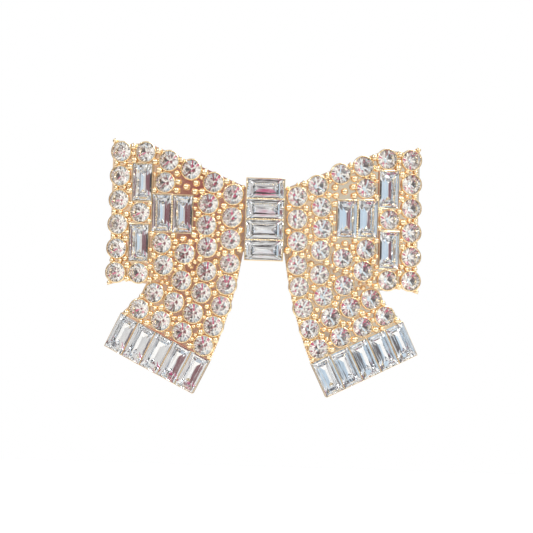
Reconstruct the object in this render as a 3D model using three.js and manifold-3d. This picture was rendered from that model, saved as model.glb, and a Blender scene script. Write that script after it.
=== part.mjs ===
// Rhinestone hair clip: a gold-plated bow casting set with round stones and baguettes, on a French barrette.
//
// Millimetres. The clip stands as it is worn: +X to the right, +Z up, and the stones face -Y.
// The origin is the middle of the channel that holds the hair, behind the knot of the bow.

import * as THREE from "three";
import { mergeVertices } from "three/addons/utils/BufferGeometryUtils.js";
import Module from "manifold-3d";

const wasm = await Module();
wasm.setup();

// ---------------------------------------------------------------- driving dimensions

const gap = 0.3; // air between a stone and its seat, and between fixed pieces that rest on each other

// Stones
const roundDiameter = 3.9;
const roundPavilion = 1.75; // depth from girdle to point
const baguetteWidth = 3.95;
const baguetteLength = 7.6;
const baguettePavilion = 1.6;
const girdleThickness = 0.25;
const crownHeight = 0.85;
const tableShare = 0.5; // table size over stone size

// Metal left between stones
const roundWall = 0.6;
const baguetteSideWall = 0.55;
const baguetteEndWall = 0.4;
const tailWall = 0.25;
const knotWall = 0.27;
const seatFloor = 0.15; // metal left under the point of a seat

// Bow casting
const bendRadius = 140; // radius of the loops' front face, about an upright axis behind the head
const tailSetback = 1.1; // the tails' front face lies this far behind the loops'
const tailTurn = 26; // degrees that a tail's end rises towards its outer corner
const tailCount = 5;
const knotCount = 4;
const knotRise = 0.9; // knot channel above the loops' front face
const knotSideWall = 0.2;
const padWidth = 6.0; // pads behind the loops, which carry the base plate
const padRise = 1.5; // sheet to base plate on the centre line
const tagPad = { width: 7.0, height: 3.2, rise: 0.4, z: -6.7 }; // blank flat pad behind the knot

// French barrette
const baseLength = 59;
const baseWidth = 8.0;
const baseThickness = 0.8;
const baseRadius = 110; // back face
const leafEndSpace = 7.5; // bare base plate beyond each end of the tension spring
const leafWidth = 4.6;
const leafThickness = 0.35;
const leafRadius = 400;
const leafEndLift = 0.4; // base plate to each end of the tension spring
const channelDepth = 5.0; // tension spring to clasp arm on the centre line
const armWidth = 5.0;
const armThickness = 0.8;
const armRadius = 260; // front face
const pinInset = 2.0; // end of the base plate to the hinge pin
const pinRadius = 0.6;
const pinClearance = 0.12;
const barrelWall = 0.6;
const earWall = 0.6; // hinge ears folded up from the base plate
const earInset = 0.2; // edge of the base plate to the outside of an ear
const hingeSlack = 0.3; // barrel to ear along the pin
const windowInset = 2.5; // end of the base plate to the middle of the latch window
const windowLength = 3.6;
const windowWidth = 5.8;
const windowRail = 1.0;
const windowSlack = 0.2; // barb to rail
const latchEarThickness = 0.4;
const latchEarLength = 2.8;
const latchEarProud = 2.3; // tip of a latch ear behind the clasp arm
const barbReach = 0.6; // how far a latch ear's barb stands out
const bracketThickness = 0.4;
const bracketMargin = 0.5; // bracket beyond the middle of a latch ear
const rivetX = 12.0; // mount rivets, either side of the knot
const rivetShank = 0.8;
const rivetHead = 1.5;
const rivetDome = 0.55;
const rivetBite = 1.8; // mount rivet beyond the base plate, into its pad
const latchRivetInset = 2.7; // middle of the latch window to the latch rivet
const latchRivetShank = 0.6;
const latchRivetHead = 1.0;
const latchRivetDome = 0.38;

// ---------------------------------------------------------------- sizes that follow

// How far an arc of the given radius falls back at a distance from its middle.
function sagitta(radius, distance) {
  return radius - Math.sqrt(radius * radius - distance * distance);
}

const tailPitch = baguetteWidth + tailWall;
const knotPitch = baguetteWidth + knotWall;
const knotWidth = baguetteLength + 2 * knotSideWall;
const knotHeight = knotCount * knotPitch + knotWall;
const sheetThickness = roundPavilion + gap + seatFloor;
const leafLength = baseLength - 2 * leafEndSpace;
const leafBackY = -channelDepth / 2;
const armFrontY = channelDepth / 2;
const leafRise = sagitta(baseRadius, leafLength / 2) - sagitta(leafRadius, leafLength / 2) + leafEndLift;
const baseY = leafBackY - leafThickness - leafRise; // back face on the centre line
const frontY = baseY - baseThickness - padRise - sheetThickness; // front face of the loops
const pinX = pinInset - baseLength / 2;
const windowCentre = baseLength / 2 - windowInset;
const latchRivetX = windowCentre - latchRivetInset;
const latchEarZ = windowWidth / 2 - windowSlack - barbReach - latchEarThickness / 2;

// The plan below is drawn for these pitches along a string; stones that need more room spread it.
const drawnRoundPitch = 4.5;
const drawnBaguettePitch = 8.0;
const spread = Math.max(
  (roundDiameter + roundWall) / drawnRoundPitch,
  (baguetteWidth + baguetteSideWall) / drawnRoundPitch,
  (baguetteLength + baguetteEndWall) / drawnBaguettePitch,
);

// ---------------------------------------------------------------- the bow's plan, right half

// Each string of stones follows a gentle curve, given as [x, z] for its top, its pull and its bottom.
// In its pattern o is a round stone, | an upright baguette, and a number is bare ground in millimetres.
const loopStrings = [
  { top: [30.1, 13.3], pull: [30.4, 0.8], bottom: [30.6, -11.8], pattern: ["o", "o", "o", "o", "o", "o"] },
  { top: [25.0, 13.3], pull: [26.2, 0.8], bottom: [25.8, -11.8], pattern: ["o", "|", "o", "|", "o"] },
  { top: [20.1, 11.6], pull: [22.1, 1.0], bottom: [20.6, -10.0], pattern: ["o", "o", "|", "o", "o"] },
  { top: [15.4, 9.9], pull: [18.0, 1.0], bottom: [16.3, -7.5], pattern: ["o", 3.0, "|", 1.8, "o"] },
  { top: [10.7, 7.3], pull: [12.6, 1.0], bottom: [11.7, -6.0], pattern: ["o", "o", "o", "o"] },
  { top: [6.6, 4.9], pull: [6.7, 0.3], bottom: [6.9, -4.3], pattern: ["o", "o", "o"] },
];
const tailStrings = [
  { top: [22.5, -15.8], pull: [24.0, -17.4], bottom: [25.5, -19.3], pattern: ["o", "o"] },
  { top: [16.8, -13.1], pull: [17.9, -18.4], bottom: [20.9, -21.6], pattern: ["o", "o", "o"] },
  { top: [11.7, -11.0], pull: [12.6, -17.8], bottom: [16.4, -23.8], pattern: ["o", "o", "o", "o"] },
  { top: [7.0, -9.2], pull: [7.6, -18.5], bottom: [11.9, -26.4], pattern: ["o", "o", "o", "o", "o"] },
];

// Round stones of the three outer loop strings are solids of their own; the others show only as their seats.
const namedStrings = ["edge", "second", "third"];

const loopOutline = [
  [3.6, 6.1],
  [11.4, 9.8],
  [24.8, 15.4],
  [28.4, 15.2],
  [31.9, 16.0],
  [32.5, -14.5],
  [28.9, -13.6],
  [24.2, -14.1],
  [16.5, -10.6],
  [11.7, -8.6],
  [3.6, -6.5],
];
const tailInnerEdge = { top: [4.6, -8.8], pull: [6.0, -18.5], bottom: [10.4, -29.6] };
const tailRoot = { inner: [4.0, -5.4], outer: [22.5, -10.2] }; // hidden behind the loops
const tailOuterEdge = [
  [25.4, -16.4],
  [28.9, -19.9],
];
const tailCentre = [21.6, -28.3]; // middle of the row of baguettes across a tail's end

// ---------------------------------------------------------------- materials

function metal(colour, roughness) {
  return new THREE.MeshStandardMaterial({ color: colour, roughness, metalness: 1 });
}

const goldPlate = metal("#e8b45a", 0.2);
const goldSteel = metal("#d9a550", 0.3);
const springSteel = metal("#cfa050", 0.28);
const crystal = new THREE.MeshStandardMaterial({ color: "#dfe6ea", roughness: 0.04, metalness: 0 });
const paleCrystal = new THREE.MeshStandardMaterial({ color: "#c3d3de", roughness: 0.04, metalness: 0 });

// ---------------------------------------------------------------- solids

function planPoint([x, z]) {
  return new THREE.Vector2(x * spread, z * spread);
}

function planCurve({ top, pull, bottom }) {
  return new THREE.QuadraticBezierCurve(planPoint(top), planPoint(pull), planPoint(bottom));
}

function toSolid(geometry) {
  const bare = geometry.index ? geometry.toNonIndexed() : geometry.clone();
  bare.deleteAttribute("normal");
  bare.deleteAttribute("uv");
  const merged = mergeVertices(bare, 1e-4);
  const vertProperties = new Float32Array(merged.attributes.position.array);
  const triVerts = new Uint32Array(merged.index.array);
  return new wasm.Manifold(new wasm.Mesh({ numProp: 3, vertProperties, triVerts }));
}

function toGeometry(solid) {
  const mesh = solid.getMesh();
  const geometry = new THREE.BufferGeometry();
  geometry.setAttribute("position", new THREE.BufferAttribute(new Float32Array(mesh.vertProperties), 3));
  geometry.setIndex(new THREE.BufferAttribute(new Uint32Array(mesh.triVerts), 1));
  geometry.computeVertexNormals();
  return geometry;
}

function joined(solids) {
  return solids.reduce((whole, solid) => whole.add(solid));
}

function cutBy(solid, tools) {
  return tools.reduce((rest, tool) => rest.subtract(tool), solid);
}

// A plate whose outline, of x and z, reaches from yFront to yBack.
function uprightPlate(points, yFront, yBack) {
  const shape = new THREE.Shape(points);
  const geometry = new THREE.ExtrudeGeometry(shape, { depth: yBack - yFront, bevelEnabled: false });
  geometry.rotateX(Math.PI / 2);
  geometry.translate(0, yBack, 0);
  return toSolid(geometry);
}

// A plate whose outline, of x and y, reaches from zLow to zHigh.
function flatPlate(points, zLow, zHigh) {
  const shape = new THREE.Shape(points);
  const geometry = new THREE.ExtrudeGeometry(shape, { depth: zHigh - zLow, bevelEnabled: false });
  geometry.translate(0, 0, zLow);
  return toSolid(geometry);
}

// A strip bent about an upright axis at (0, axisY), from radius inner to radius outer.
function bentStrip(axisY, inner, outer, xLow, xHigh, zLow, zHigh) {
  const steps = Math.max(4, Math.round((xHigh - xLow) / 4));
  const onArc = (radius, share) => {
    const x = THREE.MathUtils.lerp(xLow, xHigh, share);
    return new THREE.Vector2(x, axisY - radius + sagitta(radius, x));
  };
  const shares = Array.from({ length: steps + 1 }, (_, i) => i / steps);
  const front = shares.map((share) => onArc(outer, share));
  const back = shares.map((share) => onArc(inner, share)).reverse();
  return flatPlate([...front, ...back], zLow, zHigh);
}

function box(xLow, xHigh, yLow, yHigh, zLow, zHigh) {
  const geometry = new THREE.BoxGeometry(xHigh - xLow, yHigh - yLow, zHigh - zLow);
  geometry.translate((xLow + xHigh) / 2, (yLow + yHigh) / 2, (zLow + zHigh) / 2);
  return toSolid(geometry);
}

// An upright cylinder, whose faceted wall lies outside the radius when it is a bore.
function uprightCylinder(x, y, radius, zLow, zHigh, isBore = false) {
  const sides = 16;
  const corner = isBore ? radius / Math.cos(Math.PI / sides) : radius;
  const geometry = new THREE.CylinderGeometry(corner, corner, zHigh - zLow, sides);
  geometry.rotateX(Math.PI / 2);
  geometry.translate(x, y, (zLow + zHigh) / 2);
  return toSolid(geometry);
}

// ---------------------------------------------------------------- places on the bent sheets

const bendAxisY = frontY + bendRadius;
const baseAxisY = baseY + baseRadius;
const leafAxisY = leafBackY + leafRadius;
const armAxisY = armFrontY + armRadius;

// A stone's seat on a sheet of the given front radius: its place, its lean outwards and its turn.
function seatOn(radius, x, z, turn = 0) {
  const lean = Math.asin(x / radius);
  const y = bendAxisY - radius + sagitta(radius, x);
  return { position: new THREE.Vector3(x, y, z), rotation: new THREE.Euler(0, turn, lean, "ZYX") };
}

function mirrored(seat) {
  const position = seat.position.clone();
  position.x = -position.x;
  return { position, rotation: new THREE.Euler(0, -seat.rotation.y, -seat.rotation.z, "ZYX") };
}

function placement(seat) {
  const turn = new THREE.Quaternion().setFromEuler(seat.rotation);
  return new THREE.Matrix4().compose(seat.position, turn, new THREE.Vector3(1, 1, 1));
}

// The pieces of one string, spaced along its curve so that the first and last sit on its ends.
function stringSeats(string, radius) {
  const footprint = (piece) => {
    if (piece === "o") return drawnRoundPitch;
    if (piece === "|") return drawnBaguettePitch;
    return piece;
  };
  const curve = planCurve(string);
  const centres = [];
  let reached = 0;
  for (const piece of string.pattern) {
    centres.push(reached + footprint(piece) / 2);
    reached += footprint(piece);
  }
  const first = centres[0];
  const last = centres[centres.length - 1];
  return string.pattern
    .map((piece, i) => {
      const point = curve.getPointAt((centres[i] - first) / (last - first));
      return { piece, ...seatOn(radius, point.x, point.y) };
    })
    .filter((seat) => seat.piece === "o" || seat.piece === "|");
}

const tailRadius = bendRadius - tailSetback;
const loopSeats = loopStrings.map((string) => stringSeats(string, bendRadius));
const tailSeats = tailStrings.map((string) => stringSeats(string, tailRadius));

// A point on the plan, measured along and up from the middle of the row across a tail's end.
function onTailRow(along, up) {
  const turn = THREE.MathUtils.degToRad(tailTurn);
  const offset = new THREE.Vector2(along, up).rotateAround(new THREE.Vector2(0, 0), turn);
  return planPoint(tailCentre).add(offset);
}

function tailRowSeats() {
  return Array.from({ length: tailCount }, (_, i) => {
    const point = onTailRow((i - (tailCount - 1) / 2) * tailPitch, 0);
    return { piece: "|", ...seatOn(tailRadius, point.x, point.y, -THREE.MathUtils.degToRad(tailTurn)) };
  });
}

function knotSeats() {
  return Array.from({ length: knotCount }, (_, i) => ({
    piece: "|",
    position: new THREE.Vector3(0, frontY - knotRise, ((knotCount - 1) / 2 - i) * knotPitch),
    rotation: new THREE.Euler(0, Math.PI / 2, 0, "ZYX"),
  }));
}

// ---------------------------------------------------------------- stones

// A stone with the given number of sides, its crown towards -Y and its girdle just off the ground.
function cutStone(radius, pavilion, sides) {
  const girdleLow = gap;
  const girdleHigh = girdleLow + girdleThickness;
  const tableTop = girdleHigh + crownHeight;
  const profile = [
    [0, girdleLow - pavilion],
    [radius, girdleLow],
    [radius, girdleHigh],
    [radius * tableShare, tableTop],
    [0, tableTop],
  ];
  return turned(profile, sides).rotateZ(Math.PI);
}

function roundStone() {
  return cutStone(roundDiameter / 2, roundPavilion, 10);
}

// Four sides turned to a square, then drawn out to the baguette's width and length.
function baguetteStone() {
  const geometry = cutStone(Math.SQRT1_2, baguettePavilion, 4);
  geometry.rotateY(Math.PI / 4);
  geometry.scale(baguetteWidth, 1, baguetteLength);
  return geometry;
}

// The space that a stone's pavilion leaves in the ground, with the gap all round it.
function seatTool(halfWidth, halfLength, pavilion, sides, startAngle) {
  const mouth = 1 + gap / Math.min(halfWidth, halfLength);
  const profile = [
    [0, -pavilion - gap],
    [mouth, gap],
    [0, gap],
  ];
  const geometry = turned(profile, sides).rotateY(startAngle).rotateZ(Math.PI);
  return toSolid(geometry.scale(halfWidth, 1, halfLength));
}

function seatTools() {
  const round = seatTool(roundDiameter / 2, roundDiameter / 2, roundPavilion, 8, 0);
  const square = Math.SQRT2 / 2;
  const long = seatTool(baguetteWidth * square, baguetteLength * square, baguettePavilion, 4, Math.PI / 4);
  const right = [...loopSeats.flat(), ...tailSeats.flat(), ...tailRowSeats()];
  const left = right.map((seat) => ({ piece: seat.piece, ...mirrored(seat) }));
  const seats = [...right, ...left, ...knotSeats()];
  return seats.map((seat) => (seat.piece === "o" ? round : long).transform(placement(seat).elements));
}

// ---------------------------------------------------------------- bow casting

const reach = 40 * spread; // beyond every edge of the bow

function mirrorPoints(points) {
  return points.map((point) => new THREE.Vector2(-point.x, point.y)).reverse();
}

// A sheet of the bow: its plan, cut from a strip bent to the given front radius.
function bentSheet(plan, radius, xLow, xHigh) {
  const strip = bentStrip(bendAxisY, radius - sheetThickness, radius, xLow, xHigh, -reach, reach);
  return uprightPlate(plan, -reach, reach).intersect(strip);
}

function loopSheet() {
  const half = loopOutline.map(planPoint);
  return bentSheet([...half, ...mirrorPoints(half)], bendRadius, -reach, reach);
}

// Corners of the rectangle under the row of baguettes, from inner top by way of the bottom to outer top.
function tailRowCorners() {
  const margin = 0.1;
  const halfRow = ((tailCount - 1) * tailPitch + baguetteWidth) / 2 + margin;
  const halfLength = baguetteLength / 2 + margin;
  return [
    onTailRow(-halfRow, halfLength),
    onTailRow(-halfRow, -halfLength),
    onTailRow(halfRow, -halfLength),
    onTailRow(halfRow, halfLength),
  ];
}

function tailSheet() {
  const inner = planCurve(tailInnerEdge).getPoints(6).slice(0, -1);
  const outer = tailOuterEdge.map(planPoint).reverse();
  const root = { inner: planPoint(tailRoot.inner), outer: planPoint(tailRoot.outer) };
  const plan = [root.inner, ...inner, ...tailRowCorners(), ...outer, root.outer];
  const right = bentSheet(plan, tailRadius, 1, reach);
  return right.add(bentSheet(mirrorPoints(plan), tailRadius, -reach, -1));
}

function knotChannel() {
  const half = knotHeight / 2;
  const back = frontY + sheetThickness;
  const channel = box(-knotWidth / 2, knotWidth / 2, frontY - knotRise, back, -half, half);
  const low = tagPad.z - tagPad.height / 2;
  const high = tagPad.z + tagPad.height / 2;
  const pad = box(-tagPad.width / 2, tagPad.width / 2, back - 0.5, back + tagPad.rise, low, high);
  return channel.add(pad);
}

// A pad reaches from inside the sheet to just short of the base plate's front face.
function mountPad(side) {
  const low = side * rivetX - padWidth / 2;
  const high = side * rivetX + padWidth / 2;
  const block = box(low, high, frontY + sheetThickness / 2, 0, -padWidth / 2, padWidth / 2);
  const face = baseRadius + baseThickness + gap;
  return block.intersect(bentStrip(baseAxisY, face, face + 8, low - 1, high + 1, -baseWidth, baseWidth));
}

function bowCasting() {
  const body = joined([loopSheet(), tailSheet(), knotChannel(), mountPad(1), mountPad(-1)]);
  const rivetHoles = [1, -1].map((side) => rivetHole(side * rivetX, rivetShank + gap / 2, rivetDepth + gap));
  return toGeometry(cutBy(body, [...seatTools(), ...rivetHoles]));
}

// ---------------------------------------------------------------- rivets

const rivetDepth = baseThickness + rivetBite; // base plate's back face to the tip of a mount rivet

function rivetSeat(x) {
  const lean = Math.asin(x / baseRadius);
  const y = baseY + sagitta(baseRadius, x);
  return { position: new THREE.Vector3(x, y, 0), rotation: new THREE.Euler(0, 0, lean, "ZYX") };
}

// A hole through the base plate at x, reaching forward of the plate's back face by the given depth.
function rivetHole(x, radius, depth) {
  const geometry = new THREE.CylinderGeometry(radius, radius, depth + 1, 12);
  geometry.translate(0, (1 - depth) / 2, 0);
  return toSolid(geometry).transform(placement(rivetSeat(x)).elements);
}

// Profile of a rivet's domed head, from the foot of the dome to its crown on the axis.
function dome(radius, height, foot) {
  return [
    [radius, foot],
    [radius * 0.6, foot + height * 0.85],
    [0, foot + height],
  ];
}

function turned(profile, sides) {
  return new THREE.LatheGeometry(profile.map(([r, h]) => new THREE.Vector2(r, h)), sides);
}

// A shank that reaches forward into the pad, and a domed head behind the base plate.
function mountRivet() {
  const shank = [
    [0, -rivetDepth],
    [rivetShank, -rivetDepth],
    [rivetShank, gap],
  ];
  return turned([...shank, ...dome(rivetHead, rivetDome, gap)], 12);
}

// A rivet with a head in front of the base plate and one behind the latch bracket.
function latchRivet() {
  const front = -baseThickness - gap;
  const back = gap * 2 + bracketThickness;
  const frontHead = dome(latchRivetHead, latchRivetDome, -front).map(([r, h]) => [r, -h]).reverse();
  const shank = [
    [latchRivetShank, front],
    [latchRivetShank, back],
  ];
  return turned([...frontHead, ...shank, ...dome(latchRivetHead, latchRivetDome, back)], 12);
}

// ---------------------------------------------------------------- French barrette

const pinY = armFrontY + sagitta(armRadius, pinX) + armThickness / 2;
const barrelRadius = pinRadius + pinClearance + barrelWall;
const earOuter = baseWidth / 2 - earInset;
const earInner = earOuter - earWall;

// Outline with round ends of the given radius, for a bar lying along X.
function roundedBar(length, width, radius) {
  const corners = [];
  const steps = 4;
  for (const [signX, signZ, start] of [[1, 1, 0], [-1, 1, 90], [-1, -1, 180], [1, -1, 270]]) {
    for (let i = 0; i <= steps; i += 1) {
      const angle = THREE.MathUtils.degToRad(start + (90 * i) / steps);
      const x = signX * (length / 2 - radius) + radius * Math.cos(angle);
      const z = signZ * (width / 2 - radius) + radius * Math.sin(angle);
      corners.push(new THREE.Vector2(x, z));
    }
  }
  return corners;
}

function hingeEar(zLow, zHigh) {
  const backY = rivetSeat(pinX).position.y;
  const earRadius = barrelRadius + 0.15;
  const root = box(pinX - earRadius, pinX + earRadius + 0.4, backY - 0.3, pinY, zLow, zHigh);
  return root.add(uprightCylinder(pinX, pinY, earRadius, zLow, zHigh));
}

function basePlate() {
  const outer = baseRadius + baseThickness;
  const half = baseLength / 2 + 2;
  const strip = bentStrip(baseAxisY, baseRadius, outer, -half, half, -baseWidth, baseWidth);
  const plate = strip.intersect(uprightPlate(roundedBar(baseLength, baseWidth, 2.0), -reach, reach));
  const ears = [hingeEar(earInner, earOuter), hingeEar(-earOuter, -earInner)];
  const holes = [1, -1].map((side) => rivetHole(side * rivetX, rivetShank + gap / 2, rivetDepth));
  const latchHole = rivetHole(latchRivetX, latchRivetShank + gap / 2, rivetDepth);
  const bore = uprightCylinder(pinX, pinY, pinRadius + pinClearance, -baseWidth, baseWidth, true);
  return toGeometry(cutBy(joined([plate, ...ears]), [...holes, latchHole, bore]));
}

function tensionSpring() {
  const half = leafLength / 2;
  const front = leafRadius + leafThickness;
  const strip = bentStrip(leafAxisY, leafRadius, front, -half, half, -leafWidth, leafWidth);
  return toGeometry(strip.intersect(uprightPlate(roundedBar(leafLength, leafWidth, 1.5), -reach, reach)));
}

// A pin with a low domed head outside each ear.
function hingePin() {
  const foot = earOuter + gap / 2;
  const head = dome(pinRadius * 1.5, 0.4, foot);
  const lowHead = head.map(([r, h]) => [r, -h]).reverse();
  const shank = [
    [pinRadius, -foot],
    [pinRadius, foot],
  ];
  return turned([...lowHead, ...shank, ...head], 16).rotateX(Math.PI / 2);
}

function claspArm() {
  const frameEnd = windowCentre + windowLength / 2 + windowRail;
  const frameStart = windowCentre - windowLength / 2 - windowRail;
  const halfFrame = windowWidth / 2 + windowRail;
  const shoulder = 3; // length over which the arm widens to the frame
  const bevel = 0.8; // cut corners of the frame's end
  const back = armRadius - armThickness;
  const bent = bentStrip(armAxisY, back, armRadius, pinX, frameEnd, -baseWidth, baseWidth);
  const half = [
    [pinX, armWidth / 2],
    [frameStart - shoulder, armWidth / 2],
    [frameStart, halfFrame],
    [frameEnd - bevel, halfFrame],
    [frameEnd, halfFrame - bevel],
  ];
  const outline = [...half, ...half.map(([x, z]) => [x, -z]).reverse()].reverse();
  const plan = outline.map(([x, z]) => new THREE.Vector2(x, z));
  const strip = bent.intersect(uprightPlate(plan, -reach, reach));
  const barrelHalf = earInner - hingeSlack;
  const barrel = uprightCylinder(pinX, pinY, barrelRadius, -barrelHalf, barrelHalf);
  const low = windowCentre - windowLength / 2;
  const opening = box(low, low + windowLength, 0, reach, -windowWidth / 2, windowWidth / 2);
  const bore = uprightCylinder(pinX, pinY, pinRadius + pinClearance, -baseWidth, baseWidth, true);
  return toGeometry(cutBy(strip.add(barrel), [opening, bore]));
}

function latchBracket() {
  const radius = baseRadius - gap;
  const low = latchRivetX - latchRivetHead - bracketMargin;
  const high = windowCentre + latchEarLength / 2 + bracketMargin;
  const halfWidth = latchEarZ + bracketMargin;
  const strip = bentStrip(baseAxisY, radius - bracketThickness, radius, low, high, -halfWidth, halfWidth);
  return toGeometry(strip.subtract(rivetHole(latchRivetX, latchRivetShank + gap / 2, rivetDepth)));
}

// A latch ear stands on the bracket, passes through the arm's window and carries a barb behind the arm.
function latchEar(side) {
  const high = windowCentre + latchEarLength / 2;
  const inner = latchEarZ - latchEarThickness / 2;
  const outer = latchEarZ + latchEarThickness / 2;
  const bracketBack = baseRadius - gap - bracketThickness;
  const rootY = baseAxisY - bracketBack + sagitta(bracketBack, high) + gap;
  const windowY = armFrontY + sagitta(armRadius, windowCentre) + armThickness;
  const tipY = windowY + latchEarProud;
  const section = [
    [inner, rootY],
    [outer, rootY],
    [outer, windowY + gap],
    [outer + barbReach, windowY + gap + latchEarThickness],
    [outer, tipY],
    [inner, tipY],
  ].map(([z, y]) => new THREE.Vector2(side * z, y));
  const shape = new THREE.Shape(section);
  const geometry = new THREE.ExtrudeGeometry(shape, { depth: latchEarLength, bevelEnabled: false });
  // The section's first axis becomes Z and its second stays Y, and the depth runs along X.
  geometry.rotateY(-Math.PI / 2);
  geometry.translate(high, 0, 0);
  return geometry;
}

// ---------------------------------------------------------------- assembly

const clip = new THREE.Group();

function addPiece(name, geometry, material, seat) {
  const mesh = new THREE.Mesh(geometry, material);
  mesh.name = name;
  if (seat) {
    mesh.position.copy(seat.position);
    mesh.rotation.copy(seat.rotation);
  }
  clip.add(mesh);
}

function addPair(name, geometry, material, seat) {
  addPiece(`right_${name}`, geometry, material, seat);
  addPiece(`left_${name}`, geometry, material, mirrored(seat));
}

addPiece("bow_casting", bowCasting(), goldPlate);

const round = roundStone();
const baguette = baguetteStone();

let loopBaguette = 0;
loopSeats.forEach((seats, column) => {
  let stone = 0;
  for (const seat of seats) {
    if (seat.piece === "|") {
      loopBaguette += 1;
      addPair(`loop_baguette_${loopBaguette}`, baguette, paleCrystal, seat);
    } else if (column < namedStrings.length) {
      stone += 1;
      addPair(`${namedStrings[column]}_stone_${stone}`, round, crystal, seat);
    }
  }
});
tailRowSeats().forEach((seat, i) => addPair(`tail_baguette_${i + 1}`, baguette, paleCrystal, seat));
knotSeats().forEach((seat, i) => addPiece(`knot_baguette_${i + 1}`, baguette, paleCrystal, seat));

addPiece("base_plate", basePlate(), goldSteel);
addPiece("mount_rivet_right", mountRivet(), goldSteel, rivetSeat(rivetX));
addPiece("mount_rivet_left", mountRivet(), goldSteel, rivetSeat(-rivetX));
addPiece("tension_spring", tensionSpring(), springSteel);
addPiece("hinge_pin", hingePin(), goldSteel, {
  position: new THREE.Vector3(pinX, pinY, 0),
  rotation: new THREE.Euler(),
});
addPiece("clasp_arm", claspArm(), goldSteel);
addPiece("latch_bracket", latchBracket(), springSteel);
addPiece("latch_rivet", latchRivet(), goldSteel, rivetSeat(latchRivetX));
addPiece("latch_ear_upper", latchEar(1), springSteel);
addPiece("latch_ear_lower", latchEar(-1), springSteel);

export default clip;
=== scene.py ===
# %% [markdown]
# # A rhinestone hair clip, finished in Blender
# The clip is a gold-plated bow, cast in one piece and set with 94 foiled crystals, on a French barrette.
# The engineering model gives every size and every joint, so this lesson starts by loading it as a frame.
# What follows gives each piece the fine shape and the finish that the real one has.

# %% Load the frame
import math
import random

import bmesh
import bpy
from mathutils import Matrix, Vector, geometry


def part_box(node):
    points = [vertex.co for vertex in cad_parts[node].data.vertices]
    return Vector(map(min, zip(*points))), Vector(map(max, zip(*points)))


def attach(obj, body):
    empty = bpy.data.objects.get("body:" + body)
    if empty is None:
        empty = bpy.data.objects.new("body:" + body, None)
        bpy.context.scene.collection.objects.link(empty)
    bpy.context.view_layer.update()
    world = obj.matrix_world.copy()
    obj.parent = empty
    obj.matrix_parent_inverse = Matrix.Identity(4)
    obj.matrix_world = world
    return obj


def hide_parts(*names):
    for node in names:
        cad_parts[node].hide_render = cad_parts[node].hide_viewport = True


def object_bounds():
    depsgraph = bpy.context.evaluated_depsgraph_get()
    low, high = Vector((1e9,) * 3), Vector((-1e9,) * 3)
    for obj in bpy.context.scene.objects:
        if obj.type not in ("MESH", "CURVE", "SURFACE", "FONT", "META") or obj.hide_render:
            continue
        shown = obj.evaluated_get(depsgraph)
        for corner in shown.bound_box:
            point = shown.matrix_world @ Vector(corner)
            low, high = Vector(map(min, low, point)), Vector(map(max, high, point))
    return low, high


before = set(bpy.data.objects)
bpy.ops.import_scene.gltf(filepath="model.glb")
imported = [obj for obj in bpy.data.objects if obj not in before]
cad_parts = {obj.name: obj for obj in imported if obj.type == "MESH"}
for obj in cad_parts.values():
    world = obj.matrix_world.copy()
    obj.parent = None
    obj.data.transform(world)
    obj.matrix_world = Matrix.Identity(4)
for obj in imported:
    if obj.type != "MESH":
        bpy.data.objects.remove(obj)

MM = 0.001  # shapes are worked out in millimetres, and a finished piece is scaled to metres
CAD_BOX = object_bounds()
BODY = "clip_body"
print("model box, mm:", [[round(v / MM, 2) for v in corner] for corner in CAD_BOX])

# %% [markdown]
# ## Where the stones sit
# A casting is drawn as strings of stones that fan out from the knot.
# Each string is a gentle curve, given in the bow's plan by its top, its pull and its bottom.
# In its pattern "o" is a round stone, "|" an upright baguette, and a number is bare ground in millimetres.
# The same plan made the engineering model, so every stone lands on its solid there.

# %% The bow's plan, right half
LOOP_STRINGS = [
    {"name": "edge", "curve": [(30.1, 13.3), (30.4, 0.8), (30.6, -11.8)], "pattern": ["o"] * 6},
    {"name": "second", "curve": [(25.0, 13.3), (26.2, 0.8), (25.8, -11.8)],
     "pattern": ["o", "|", "o", "|", "o"]},
    {"name": "third", "curve": [(20.1, 11.6), (22.1, 1.0), (20.6, -10.0)],
     "pattern": ["o", "o", "|", "o", "o"]},
    {"name": "fourth", "curve": [(15.4, 9.9), (18.0, 1.0), (16.3, -7.5)],
     "pattern": ["o", 3.0, "|", 1.8, "o"]},
    {"name": "fifth", "curve": [(10.7, 7.3), (12.6, 1.0), (11.7, -6.0)], "pattern": ["o"] * 4},
    {"name": "inner", "curve": [(6.6, 4.9), (6.7, 0.3), (6.9, -4.3)], "pattern": ["o"] * 3},
]
TAIL_STRINGS = [
    {"name": "tail_outer", "curve": [(22.5, -15.8), (24.0, -17.4), (25.5, -19.3)], "pattern": ["o"] * 2},
    {"name": "tail_third", "curve": [(16.8, -13.1), (17.9, -18.4), (20.9, -21.6)], "pattern": ["o"] * 3},
    {"name": "tail_second", "curve": [(11.7, -11.0), (12.6, -17.8), (16.4, -23.8)], "pattern": ["o"] * 4},
    {"name": "tail_inner", "curve": [(7.0, -9.2), (7.6, -18.5), (11.9, -26.4)], "pattern": ["o"] * 5},
]
FOOTPRINT = {"o": 4.5, "|": 8.0}  # room that a stone takes along its string
TAIL_CENTRE = Vector((21.6, -28.3))  # middle of the row of baguettes across a tail's end
TAIL_TURN = math.radians(26)
TAIL_PITCH = 4.2
TAIL_COUNT = 5
KNOT_PITCH = 4.22
KNOT_COUNT = 4
BEND_RADIUS = 140.0  # the loops curve about an upright axis, to follow the head
TAIL_SETBACK = 1.1  # the tails lie this far behind the loops
KNOT_RISE = 0.9  # and the knot stands this far in front of them

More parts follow.
